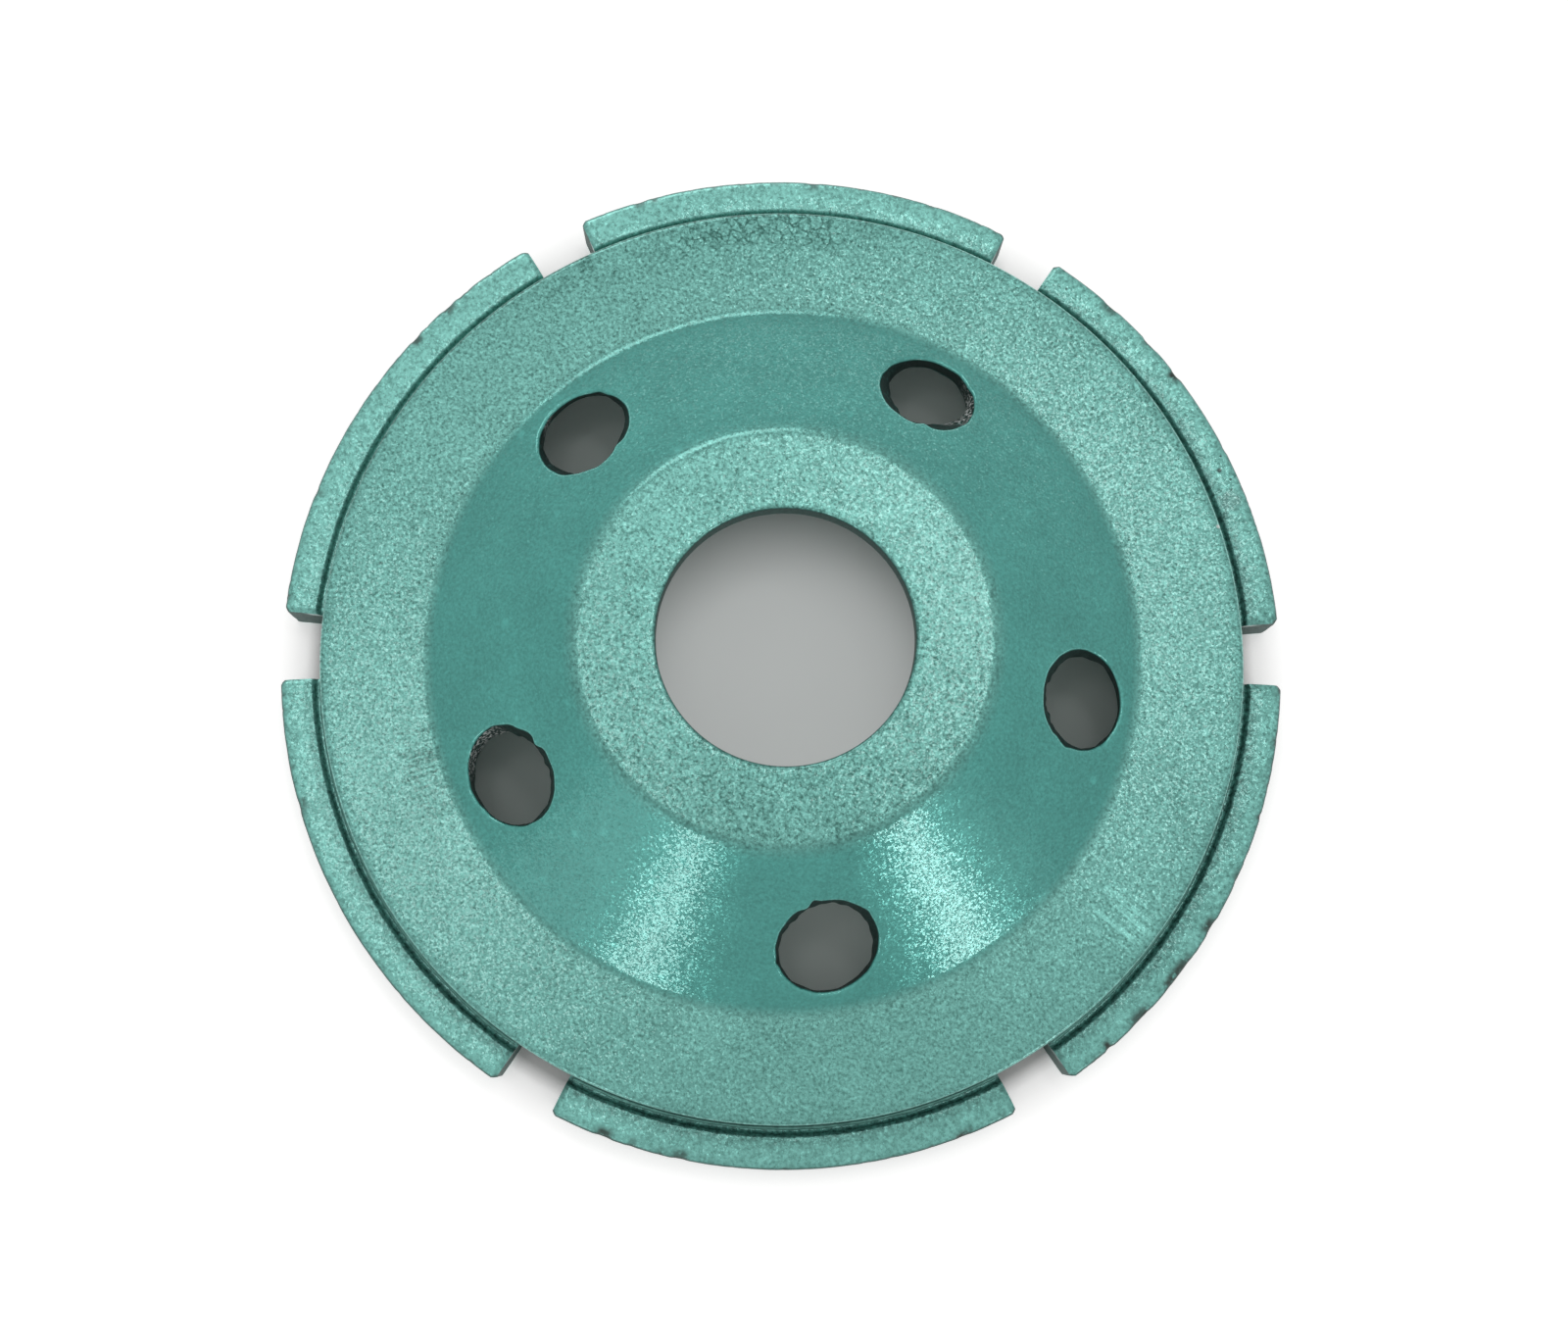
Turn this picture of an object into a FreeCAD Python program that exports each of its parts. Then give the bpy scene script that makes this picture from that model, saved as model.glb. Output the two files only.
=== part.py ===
import FreeCAD, Part
import math
import os
import Sketcher

# Diamond cup wheel for a small angle grinder: a pressed steel cup with a plain
# bore, five punched vents in its cone, and six diamond segments brazed round the
# underside of its rim.
# Frame, in millimetres: +Z is the wheel's axis and points to the grinder. The
# origin is on that axis in the plane of the grinding face. The first vent is
# centred on +X.

# The cup: one disc of plate, drawn to a hub, a cone and a flange.
bore_dia = 22.23  # bore for a 7/8 inch spindle flange
plate = 2.5  # plate thickness, the same all over
hub_dia = 36.0  # corner between the hub's flat and the cone
cone_rise = 9.1  # hub face above flange face
foot_dia = 63.2  # corner between the cone and the flange

# Bends and edges: outer side and inner side of each bend, as the press tool leaves
# them, and the punched edges after tumbling.
crown_round = 1.5  # top of the bend from hub to cone
crown_hollow = 0.6  # underside of the bend from hub to cone
foot_hollow = 1.5  # top of the bend from cone to flange
foot_round = 3.0  # underside of the bend from cone to flange
rim_break = 0.4  # broken upper edge of the rim
bore_break = 0.25  # broken edges of the bore, top and underside

# Vents: round holes punched square to the cone.
vent_count = 5  # vents round the cone
vent_dia = 9.0  # vent bore
vent_circle = 52.6  # pitch circle of the vents on the cone's top face
vent_break = 0.3  # broken outer edge of each vent

# Segments: sintered blocks with a seat for the flange and a lip outside its rim.
seg_count = 6  # segments round the rim
seg_dia = 90.0  # outer diameter of the wheel
seg_width = 8.0  # radial width of the grinding face
lip_width = 3.0  # radial width of the lip
seg_high = 5.5  # grinding face to the top of the lip
lip_rise = 0.5  # lip above the seat that carries the flange
lip_gap = 0.8  # braze clearance between the rim and the lip
seg_gap = 5.7  # gap between segments, measured round the outside
seg_phase = 10.0  # turn from the first vent to a gap, degrees
seg_break = 0.3  # bevel along the outer edges of each segment

doc = FreeCAD.newDocument("cup_wheel")
sizes = doc.addObject("Spreadsheet::Sheet", "Sizes")
for row, (name, value) in enumerate([
    ("bore_dia", bore_dia), ("plate", plate),
    ("hub_dia", hub_dia), ("cone_rise", cone_rise),
    ("foot_dia", foot_dia), ("crown_round", crown_round),
    ("crown_hollow", crown_hollow), ("foot_hollow", foot_hollow),
    ("foot_round", foot_round), ("rim_break", rim_break),
    ("bore_break", bore_break), ("vent_count", vent_count),
    ("vent_dia", vent_dia), ("vent_circle", vent_circle),
    ("vent_break", vent_break), ("seg_count", seg_count),
    ("seg_dia", seg_dia), ("seg_width", seg_width),
    ("lip_width", lip_width), ("seg_high", seg_high),
    ("lip_rise", lip_rise), ("lip_gap", lip_gap),
    ("seg_gap", seg_gap), ("seg_phase", seg_phase),
    ("seg_break", seg_break),
], 1):
    sizes.set("A%d" % row, name)
    sizes.set("B%d" % row, str(value))
    sizes.setAlias("B%d" % row, name)
doc.recompute()

# What follows from the sizes, written once for every sketch and feature.
SEAT = "(Sizes.seg_high - Sizes.lip_rise)"
FLANGE_TOP = "(%s + Sizes.plate)" % SEAT
SLOPE = "atan(2 * Sizes.cone_rise / (Sizes.foot_dia - Sizes.hub_dia))"
VENT_RISE = "(Sizes.foot_dia - Sizes.vent_circle) / 2 * tan(%s)" % SLOPE
LIP_RADIUS = "(Sizes.seg_dia / 2 - Sizes.lip_width)"
RIM_RADIUS = "(%s - Sizes.lip_gap)" % LIP_RADIUS
SEG_ANGLE = "360 / Sizes.seg_count - 360 * Sizes.seg_gap / (pi * Sizes.seg_dia)"

seat = seg_high - lip_rise
flange_top = seat + plate
hub_top = flange_top + cone_rise
slope = math.atan(2 * cone_rise / (foot_dia - hub_dia))
lip_radius = seg_dia / 2 - lip_width
rim_radius = lip_radius - lip_gap


def new_body(name):
    body = doc.addObject("PartDesign::Body", name)
    body.Label = name
    return body


def origin_plane(body, role):
    for feature in body.Origin.OriginFeatures:
        if feature.Role == role:
            return feature


def section_sketch(body, name, corners):
    """Half-section of a turned form: X is the radius, Y the height."""
    sketch = body.newObject("Sketcher::SketchObject", name)
    sketch.AttachmentSupport = [(origin_plane(body, "XZ_Plane"), "")]
    sketch.MapMode = "FlatFace"
    last = len(corners) - 1
    for index, (x, y) in enumerate(corners):
        x2, y2 = corners[0 if index == last else index + 1]
        start = FreeCAD.Vector(x, y, 0)
        end = FreeCAD.Vector(x2, y2, 0)
        sketch.addGeometry(Part.LineSegment(start, end))
        if abs(y - y2) < 1e-9:
            sketch.addConstraint(Sketcher.Constraint("Horizontal", index))
        elif abs(x - x2) < 1e-9:
            sketch.addConstraint(Sketcher.Constraint("Vertical", index))
    for index in range(len(corners)):
        after = 0 if index == last else index + 1
        sketch.addConstraint(Sketcher.Constraint("Coincident", index, 2, after, 1))
    return sketch


def bind(sketch, name, constraint, expression):
    index = sketch.addConstraint(constraint)
    sketch.renameConstraint(index, name)
    sketch.setExpression("Constraints." + name, expression)


def bind_radius(sketch, name, line, expression):
    """Distance from the wheel's axis to the start of a line."""
    x = sketch.Geometry[line].StartPoint.x
    bind(sketch, name, Sketcher.Constraint("DistanceX", -1, 1, line, 1, x), expression)


def bind_height(sketch, name, line, expression):
    """Height of the start of a line above the grinding face."""
    y = sketch.Geometry[line].StartPoint.y
    bind(sketch, name, Sketcher.Constraint("DistanceY", -1, 1, line, 1, y), expression)


def turn(body, name, sketch):
    feature = body.newObject("PartDesign::Revolution", name)
    feature.Profile = sketch
    feature.ReferenceAxis = (sketch, ["V_Axis"])
    return feature


def rings(shape, radius, height):
    """Names of the circular edges round the axis at a radius and a height."""
    found = []
    for number, edge in enumerate(shape.Edges, 1):
        curve = edge.Curve
        if not isinstance(curve, Part.Circle) or abs(curve.Axis.z) < 0.999:
            continue
        if abs(curve.Radius - radius) < 1e-4 and abs(curve.Center.z - height) < 1e-4:
            found.append("Edge%d" % number)
    return found


def dress(body, kind, name, base, edges, expression):
    """Fillet or chamfer on the named edges of a feature."""
    feature = body.newObject("PartDesign::" + kind, name)
    feature.Base = (base, edges)
    feature.setExpression("Radius" if kind == "Fillet" else "Size", expression)
    doc.recompute()
    return feature


# cup_body: pressed and punched from 2.5 mm steel plate.
cup = new_body("cup_body")
half_bend = plate * math.tan(slope / 2)
section = section_sketch(cup, "cup_section", [
    (bore_dia / 2, hub_top),
    (hub_dia / 2, hub_top),
    (foot_dia / 2, flange_top),
    (rim_radius, flange_top),
    (rim_radius, seat),
    (foot_dia / 2 - half_bend, seat),
    (hub_dia / 2 - half_bend, hub_top - plate),
    (bore_dia / 2, hub_top - plate),
])
bind_radius(section, "bore_radius", 0, "Sizes.bore_dia / 2")
bind_radius(section, "hub_radius", 1, "Sizes.hub_dia / 2")
bind_radius(section, "foot_radius", 2, "Sizes.foot_dia / 2")
bind_radius(section, "rim_radius", 3, RIM_RADIUS)
bind_height(section, "hub_height", 0, FLANGE_TOP + " + Sizes.cone_rise")
bind_height(section, "flange_height", 2, FLANGE_TOP)
bind_height(section, "seat_height", 4, SEAT)
bind_height(section, "hub_underside", 7, FLANGE_TOP + " + Sizes.cone_rise - Sizes.plate")
section.addConstraint(Sketcher.Constraint("Parallel", 1, 5))
bind(section, "cone_plate", Sketcher.Constraint("Distance", 5, 1, 1, plate), "Sizes.plate")

drawn = turn(cup, "drawn_cup", section)
doc.recompute()

crown = dress(cup, "Fillet", "crown_bend", drawn,
              rings(drawn.Shape, hub_dia / 2, hub_top), "Sizes.crown_round")
crown_in = dress(cup, "Fillet", "crown_inside", crown,
                 rings(crown.Shape, hub_dia / 2 - half_bend, hub_top - plate),
                 "Sizes.crown_hollow")
foot = dress(cup, "Fillet", "foot_bend", crown_in,
             rings(crown_in.Shape, foot_dia / 2, flange_top), "Sizes.foot_hollow")
foot_in = dress(cup, "Fillet", "foot_inside", foot,
                rings(foot.Shape, foot_dia / 2 - half_bend, seat), "Sizes.foot_round")
rim = dress(cup, "Chamfer", "rim_edge", foot_in,
            rings(foot_in.Shape, rim_radius, flange_top), "Sizes.rim_break")
bore = dress(cup, "Chamfer", "bore_edges", rim,
             rings(rim.Shape, bore_dia / 2, hub_top)
             + rings(rim.Shape, bore_dia / 2, hub_top - plate), "Sizes.bore_break")

# The punch goes in along the cone's normal, two plates deep, and is cut off one
# plate above the cone, so it clears the plate on both sides.
punch = cup.newObject("PartDesign::SubtractiveCylinder", "vent_punch")
punch.AttachmentSupport = [(origin_plane(cup, "XY_Plane"), "")]
punch.MapMode = "FlatFace"
punch.AttachmentOffset = FreeCAD.Placement(
    FreeCAD.Vector(0, 0, 0), FreeCAD.Rotation(FreeCAD.Vector(0, 1, 0), math.degrees(slope)))
punch.setExpression(".AttachmentOffset.Rotation.Angle", SLOPE)
punch.setExpression(".AttachmentOffset.Base.x",
                    "Sizes.vent_circle / 2 - 2 * Sizes.plate * sin(%s)" % SLOPE)
punch.setExpression(".AttachmentOffset.Base.z",
                    "%s + %s - 2 * Sizes.plate * cos(%s)" % (FLANGE_TOP, VENT_RISE, SLOPE))
punch.setExpression("Radius", "Sizes.vent_dia / 2")
punch.setExpression("Height", "3 * Sizes.plate")
doc.recompute()

vents = cup.newObject("PartDesign::PolarPattern", "vents")
vents.Originals = [punch]
vents.Axis = (section, ["V_Axis"])
vents.Angle = 360
vents.setExpression("Occurrences", "Sizes.vent_count")
cup.Tip = vents
doc.recompute()


def vent_mouths(shape):
    """Names of the edges where the vents meet the cone's outer face."""
    found = []
    for number, edge in enumerate(shape.Edges, 1):
        middle = edge.BoundBox.Center
        if edge.BoundBox.DiagonalLength > 2 * vent_dia:
            continue
        if edge.BoundBox.DiagonalLength < vent_dia:
            continue
        rise = (foot_dia - vent_circle) / 2 * math.tan(slope)
        out = math.hypot(middle.x, middle.y) - vent_circle / 2
        above = middle.z - flange_top - rise
        if above * math.cos(slope) + out * math.sin(slope) > -plate / 2:
            found.append("Edge%d" % number)
    return found


mouths = dress(cup, "Chamfer", "vent_edges", vents, vent_mouths(vents.Shape), "Sizes.vent_break")
cup.Tip = mouths

# segment_1 to segment_6: metal-bonded diamond, pressed and sintered to an L-shaped
# section. The flange rests on the seat, and the lip stands outside the rim.
segments = []
for number in range(1, int(seg_count) + 1):
    segment = new_body("segment_%d" % number)
    block_section = section_sketch(segment, "block_section_%d" % number, [
        (seg_dia / 2 - seg_width, 0),
        (seg_dia / 2, 0),
        (seg_dia / 2, seg_high),
        (lip_radius, seg_high),
        (lip_radius, seat),
        (seg_dia / 2 - seg_width, seat),
    ])
    bind_radius(block_section, "inner_radius", 0, "Sizes.seg_dia / 2 - Sizes.seg_width")
    bind_radius(block_section, "outer_radius", 1, "Sizes.seg_dia / 2")
    bind_radius(block_section, "lip_radius", 3, LIP_RADIUS)
    bind_height(block_section, "lip_height", 2, "Sizes.seg_high")
    bind_height(block_section, "seat_height", 4, SEAT)
    block_section.addConstraint(Sketcher.Constraint("PointOnObject", 0, 1, -1))

    block = turn(segment, "block_%d" % number, block_section)
    block.Midplane = True
    block.setExpression("Angle", SEG_ANGLE)
    doc.recompute()

    edges = []
    for index, edge in enumerate(block.Shape.Edges, 1):
        ends = [vertex.Point for vertex in edge.Vertexes]
        radii = [math.hypot(point.x, point.y) for point in ends]
        on_outside = min(radii) > seg_dia / 2 - 1e-4
        on_top = min(point.z for point in ends) > seg_high - 1e-4
        arc_inside = on_top and max(radii) < lip_radius + 1e-4
        arc_below = on_outside and max(point.z for point in ends) < 1e-4
        if (on_outside or on_top) and not arc_inside and not arc_below:
            edges.append("Edge%d" % index)
    bevelled = dress(segment, "Chamfer", "edges_%d" % number, block, edges, "Sizes.seg_break")
    segment.Tip = bevelled

    segment.setExpression(
        "Placement.Rotation.Angle",
        "(Sizes.seg_phase + (%d - 0.5) * 360 / Sizes.seg_count) * 1 deg" % number)
    segments.append(segment)

doc.recompute()

# Nothing is written unless every feature and every piece came out sound.
for thing in doc.Objects:
    if "Invalid" in thing.State or "Error" in thing.State:
        raise RuntimeError("%s did not compute: %s" % (thing.Name, thing.State))
for piece in [cup] + segments:
    if piece.Shape.isNull() or not piece.Shape.isValid() or len(piece.Shape.Solids) != 1:
        raise RuntimeError("%s is not one sound solid" % piece.Label)

os.makedirs("parts", exist_ok=True)
for piece in [cup] + segments:
    piece.Shape.exportStep("parts/%s.step" % piece.Label)
    box = piece.Shape.BoundBox
    print("%-10s %9.2f mm3  x %.2f..%.2f  y %.2f..%.2f  z %.2f..%.2f" % (
        piece.Label, piece.Shape.Volume, box.XMin, box.XMax, box.YMin, box.YMax,
        box.ZMin, box.ZMax))
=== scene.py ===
import math

import bmesh
import bpy
import numpy as np
from mathutils import Matrix, Vector


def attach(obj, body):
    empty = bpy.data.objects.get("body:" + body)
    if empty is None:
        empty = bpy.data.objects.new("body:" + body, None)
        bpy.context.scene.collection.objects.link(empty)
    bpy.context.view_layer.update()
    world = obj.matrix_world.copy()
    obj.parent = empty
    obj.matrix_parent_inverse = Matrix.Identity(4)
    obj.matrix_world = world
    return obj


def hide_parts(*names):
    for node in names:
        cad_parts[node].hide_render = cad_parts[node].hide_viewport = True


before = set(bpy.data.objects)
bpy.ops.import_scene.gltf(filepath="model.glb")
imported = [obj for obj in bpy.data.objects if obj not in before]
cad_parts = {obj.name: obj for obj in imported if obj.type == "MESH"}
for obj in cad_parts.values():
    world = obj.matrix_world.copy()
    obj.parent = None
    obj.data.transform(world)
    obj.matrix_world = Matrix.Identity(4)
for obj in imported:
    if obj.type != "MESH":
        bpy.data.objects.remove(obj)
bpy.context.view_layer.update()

# The cup -----------------------------------------------------------------------
# One disc of 2.5 mm steel plate, pressed to a flat hub, a cone and a flange, then
# punched: a plain bore in the hub and five round vents square to the cone. It is
# sprayed all over with one coat of green metallic paint that dries to a fine grain.
MM = 0.001
BORE = 11.115            # radius of the bore
SEAT = 5.0               # underside of the flange above the grinding face
FLANGE_TOP = 7.5
HUB_TOP = 16.6
RIM = 41.2               # radius of the flange's edge
FOOT = 31.6              # radius of the corner between cone and flange
PLATE = 2.5              # thickness of the plate
CONE = math.atan(9.1 / 13.6)             # slope of the cone
CONE_DROP = PLATE / math.cos(CONE)       # plate thickness, measured straight down
HUB_UNDERSIDE = 14.1
CROWN_BEND = 1.5         # radius of the bend between hub and cone, on the outside
CROWN_BEND_AT = 17.544   # radius from the axis where that bend begins
CROWN_HOLLOW = 0.6       # the same bend on the inside
CROWN_HOLLOW_AT = 17.059
FOOT_HOLLOW = 1.5        # radius of the bend above the cone's foot
FOOT_HOLLOW_AT = 32.056
VENT_CIRCLE = 26.3       # radius of the vents' pitch circle on the cone's top face
ROUND_VENT = 0.30        # paint-rounded edge of a vent
ROUND_RIM = 0.45         # paint-rounded edge of the rim
ROUND_BORE = 0.3         # paint-rounded edge of the bore
BREAK_BORE = 0.25        # broken edge of the bore, underneath
BREAK_RIM = 0.12         # broken edge of the rim, underneath
FOOT_BEND = 3.0          # radius of the bend under the cone's foot
FOOT_BEND_AT = 31.752    # radius where that bend ends in the flange's underside
STEPS = 60               # divisions round the axis in each fifth of the cup
SIDES = 12               # divisions along the cone in the patch round a vent
PATCH_TOP = (19.2, 31.0)                 # that patch's inner and outer radius
PATCH_UNDER = (18.3, 32.6)               # the same on the underside

# The five vents, each punched a little off its place and out of round. Their walls were
# sheared nearly upright, so the lower edge lies further out than the upper one. For
# each: the upper edge and the lower edge, both as radius in mm, how far it lies out
# from and round the axis, how oval it is and which way; where the wall is torn bright,
# and half how wide; and the upper edge's nicks and burrs: where, how deep (a burr is
# below zero) and how wide. Degrees count round the vent from the way out of the axis.
VENTS = (
    ((4.42, 0.33, 0.25, 0.09, -7), (3.84, 2.12, 0.56, 0.46, 6), (0, 0),
     ((242, -0.16, 7), (262, 0.10, 6), (60, 0.08, 9))),
    ((4.40, 0.15, -0.31, 0.13, -28), (3.40, 2.12, -0.08, 0.66, -6), (-66, 34),
     ((200, -0.38, 7), (320, -0.12, 5), (338, 0.12, 5))),
    ((4.48, 0.08, -0.25, 0.11, -25), (4.04, 1.93, -0.48, 0.72, -23), (14, 9),
     ((197, -0.30, 8), (165, 0.14, 9), (305, 0.18, 7))),
    ((4.46, 0.12, 0.07, 0.14, -56), (3.92, 1.66, 0.10, 0.16, -3), (-58, 36),
     ((197, -0.42, 8), (228, -0.15, 12), (20, -0.10, 6))),
    ((4.48, 0.10, 0.28, 0.15, -32), (4.10, 1.42, 0.32, 0.29, -11), (0, 0),
     ((186, 0.28, 5), (197, -0.25, 7), (125, 0.12, 6), (285, 0.12, 4))))


def arc(x, z, radius, start, end, count):
    """Points on a bend of the cup's section: radius from the axis, and height."""
    turn = np.radians(np.linspace(start, end, count))
    return [(x + radius * math.cos(t), z + radius * math.sin(t)) for t in turn]


def run(start, end, count):
    """Points between two corners of the section, without the first."""
    return [(start[0] + (end[0] - start[0]) * k / count,
             start[1] + (end[1] - start[1]) * k / count) for k in range(1, count + 1)]


def cone_height(r, drop=0.0):
    """Height of the cone's top face at a radius. With the drop it is the underside's
    height, which runs on through the bend at the foot to the flange."""
    height = FLANGE_TOP - drop + (FOOT - r) * math.tan(CONE)
    if drop:
        inward = np.clip(FOOT_BEND_AT - np.asarray(r, float), 0, FOOT_BEND * math.sin(CONE))
        bend = SEAT + FOOT_BEND - np.sqrt(FOOT_BEND ** 2 - inward ** 2)
        height = np.where(FOOT_BEND_AT - r < FOOT_BEND * math.sin(CONE), bend, height)
    return height


def turned(section):
    """The section turned round the axis, one ring of points for each of its points."""
    count = len(VENTS) * STEPS
    turn = 2 * math.pi * (np.arange(count) / count) - math.pi / len(VENTS)
    return np.array([np.stack([r * np.cos(turn), r * np.sin(turn), np.full(count, z)], 1)
                     for r, z in section])


def vent_rings(number, drop):
    """Rings of points from the patch's outline in to the vent's edge, on one face of
    the cone: the top face, or the underside where drop is the plate's thickness."""
    top = drop == 0.0
    inner, outer = PATCH_TOP if top else PATCH_UNDER
    half = math.pi / len(VENTS)
    centre = 2 * half * number
    across = np.linspace(-half, half, STEPS + 1)
    along = np.linspace(inner, outer, SIDES + 1)
    u = np.concatenate([across[:-1], np.full(SIDES, half), across[:0:-1],
                        np.full(SIDES, -half)])
    r = np.concatenate([np.full(STEPS, inner), along[:-1], np.full(STEPS, outer),
                        along[:0:-1]])
    count = len(u)
    # As many points round the vent, evenly spread and in the outline's order.
    t = math.pi * STEPS / count - math.pi - 2 * math.pi * np.arange(count) / count
    upper, lower, torn, nicks = VENTS[number]
    radius, off_out, off_round, oval, oval_turn = upper if top else lower
    edge = (radius + off_out * np.cos(t) + off_round * np.sin(t)
            + oval * np.cos(2 * (t - math.radians(oval_turn))))
    # The sheared edge is a little uneven, and more so underneath.
    rng = np.random.default_rng(40 + number)
    rough = 0.012 if top else 0.035
    for waves in (5, 7, 9, 13, 17):
        edge += rough * rng.uniform(0.4, 1.4) * np.cos(waves * t + rng.uniform(0, 6.28))
    if top:
        for at, deep, wide in nicks:
            away = (t - math.radians(at) + math.pi) % (2 * math.pi) - math.pi
            edge += deep * np.exp(-(away / math.radians(wide)) ** 2)
    normal = np.array([math.sin(CONE), 0, math.cos(CONE)])
    out = np.array([math.cos(CONE), 0, -math.sin(CONE)])
    middle = np.array([VENT_CIRCLE, 0, cone_height(VENT_CIRCLE)])

    def at_radius(radius, height=0.0):
        """Points round the vent on this face of the cone, and a height off it."""
        flat = (middle + np.outer(radius * np.cos(t), out)
                + np.outer(radius * np.sin(t), (0, 1, 0)))
        rise = np.full(count, -(PLATE if drop else 0.0))
        for _ in range(9):                   # closes in on the face along its normal
            spot = flat + np.outer(rise, normal)
            gap = spot[:, 2] - cone_height(np.hypot(spot[:, 0], spot[:, 1]), drop)
            rise -= gap * math.cos(CONE)
        return flat + np.outer(rise + height, normal)

    lip = at_radius(edge + ROUND_VENT)
    lip_u = np.arctan2(lip[:, 1], lip[:, 0])
    lip_r = np.hypot(lip[:, 0], lip[:, 1])
    rings = []
    # From the outline (0) to the vent (1), closer together towards both.
    for w in (0, 0.09, 0.19, 0.30, 0.42, 0.54, 0.66, 0.77, 0.86, 0.93, 0.98):
        uu = u * (1 - w) + lip_u * w
        rr = r * (1 - w) + lip_r * w
        rings.append(np.stack([rr * np.cos(uu), rr * np.sin(uu), cone_height(rr, drop)], 1))
    rings.append(lip)
    sign = -1 if top else 1
    for bend in (18, 36, 54, 72, 90):
        b = math.radians(bend)
        rings.append(at_radius(edge + ROUND_VENT * (1 - math.sin(b)),
                               sign * ROUND_VENT * (1 - math.cos(b))))
    spin = np.array([[math.cos(centre), math.sin(centre), 0],
                     [-math.sin(centre), math.cos(centre), 0], [0, 0, 1]])
    away = (np.degrees(t) - torn[0] + 180) % 360 - 180
    torn_here = np.exp(-(away / torn[1]) ** 4) if torn[1] else np.zeros(count)
    return [ring @ spin for ring in rings], torn_here


lean = 90 - math.degrees(CONE)
hub_to_hub = (
    [(r, cone_height(r)) for r in (PATCH_TOP[0], 18.8)]
    + arc(CROWN_BEND_AT, HUB_TOP - CROWN_BEND, CROWN_BEND, lean, 90, 9)
    + run((CROWN_BEND_AT, HUB_TOP), (BORE + 0.35, HUB_TOP), 9)[:-1]
    + arc(BORE + ROUND_BORE, HUB_TOP - ROUND_BORE, ROUND_BORE, 90, 180, 6)
    + run((BORE, HUB_TOP - ROUND_BORE), (BORE, HUB_UNDERSIDE + BREAK_BORE), 4)
    + run((BORE, HUB_UNDERSIDE + BREAK_BORE), (BORE + BREAK_BORE, HUB_UNDERSIDE), 2)
    + run((BORE + BREAK_BORE, HUB_UNDERSIDE), (CROWN_HOLLOW_AT, HUB_UNDERSIDE), 6)
    + arc(CROWN_HOLLOW_AT, HUB_UNDERSIDE - CROWN_HOLLOW, CROWN_HOLLOW, 90, lean, 6)[1:]
    + [(r, cone_height(r, CONE_DROP)) for r in (17.9, PATCH_UNDER[0])])
flange_to_flange = (
    [(PATCH_TOP[1], cone_height(PATCH_TOP[1]))]
    + arc(FOOT_HOLLOW_AT, FLANGE_TOP + FOOT_HOLLOW, FOOT_HOLLOW, lean - 180, -90, 8)
    + run((FOOT_HOLLOW_AT, FLANGE_TOP), (RIM - ROUND_RIM, FLANGE_TOP), 12)
    + arc(RIM - ROUND_RIM, FLANGE_TOP - ROUND_RIM, ROUND_RIM, 90, 0, 8)[1:]
    + run((RIM, FLANGE_TOP - ROUND_RIM), (RIM, SEAT + BREAK_RIM), 4)
    + run((RIM, SEAT + BREAK_RIM), (RIM - BREAK_RIM, SEAT), 2)
    + run((RIM - BREAK_RIM, SEAT), (PATCH_UNDER[1], SEAT), 8))

cup_points, cup_faces, cup_bare, cup_torn = [], [], [], []


def weave(rings, bare, torn=0.0):
    """Adds rings of points, each joined to the next, to the cup. Bare says for each
    ring how little paint it has, from 0 to 1, and torn how far it is torn bright."""
    first = sum(len(p) for p in cup_points)
    count = len(rings[0])
    cup_points.extend(rings)
    cup_bare.extend(np.full(count, b) for b in bare)
    cup_torn.extend(np.full(count, torn) * (b > 0.9) for b in bare)
    for k in range(len(rings) - 1):
        for i in range(count):
            j = (i + 1) % count
            a = first + k * count
            cup_faces.append((a + i, a + j, a + count + j, a + count + i))


weave(turned(hub_to_hub), [0.0] * len(hub_to_hub))
weave(turned(flange_to_flange), [0.0] * len(flange_to_flange))
for number in range(len(VENTS)):
    top_rings, torn = vent_rings(number, 0.0)
    under_rings, _ = vent_rings(number, CONE_DROP)
    last, first = top_rings[-1], under_rings[-1]
    wall = [last + (first - last) * k / 8 for k in range(1, 8)]
    bare = [0.0] * (len(top_rings) - 2) + [0.5, 1.0] + [1.0] * len(wall)
    weave(top_rings + wall + under_rings[::-1],
          bare + [1.0] + [0.0] * (len(under_rings) - 1), torn)

mesh = bpy.data.meshes.new("cup")
mesh.from_pydata((np.concatenate(cup_points) * MM).tolist(), [], cup_faces)
for name, values in (("bare", cup_bare), ("torn", cup_torn)):
    mesh.attributes.new(name, "FLOAT", "POINT").data.foreach_set(
        "value", np.concatenate(values).astype(np.float32))
bm = bmesh.new()
bm.from_mesh(mesh)
bmesh.ops.remove_doubles(bm, verts=bm.verts, dist=2e-6)
bmesh.ops.recalc_face_normals(bm, faces=bm.faces)
bm.to_mesh(mesh)
bm.free()
mesh.shade_smooth()
cup = bpy.data.objects.new("cup", mesh)
bpy.context.scene.collection.objects.link(cup)


def colour(code):
    """An sRGB hex code as the linear colour that a shader takes."""
    parts = [int(code[k:k + 2], 16) / 255 for k in (1, 3, 5)]
    return [c / 12.92 if c <= 0.04045 else ((c + 0.055) / 1.055) ** 2.4
            for c in parts] + [1.0]


def add(tree, kind, values=(), **settings):
    """Adds a node and returns it. Values go to its inputs by name or number: a value,
    a socket to link from, or a node, whose first output is linked."""
    made = tree.nodes.new(kind)
    for name, setting in settings.items():
        setattr(made, name, setting)
    for name, value in dict(values).items():
        if isinstance(value, bpy.types.Node):
            value = value.outputs[0]
        if isinstance(value, bpy.types.NodeSocket):
            tree.links.new(value, made.inputs[name])
        else:
            made.inputs[name].default_value = value
    return made


def blank_material(name):
    """A new material whose node tree is empty, and that tree."""
    made = bpy.data.materials.new(name)
    made.use_nodes = True
    made.node_tree.nodes.clear()
    return made, made.node_tree


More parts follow.
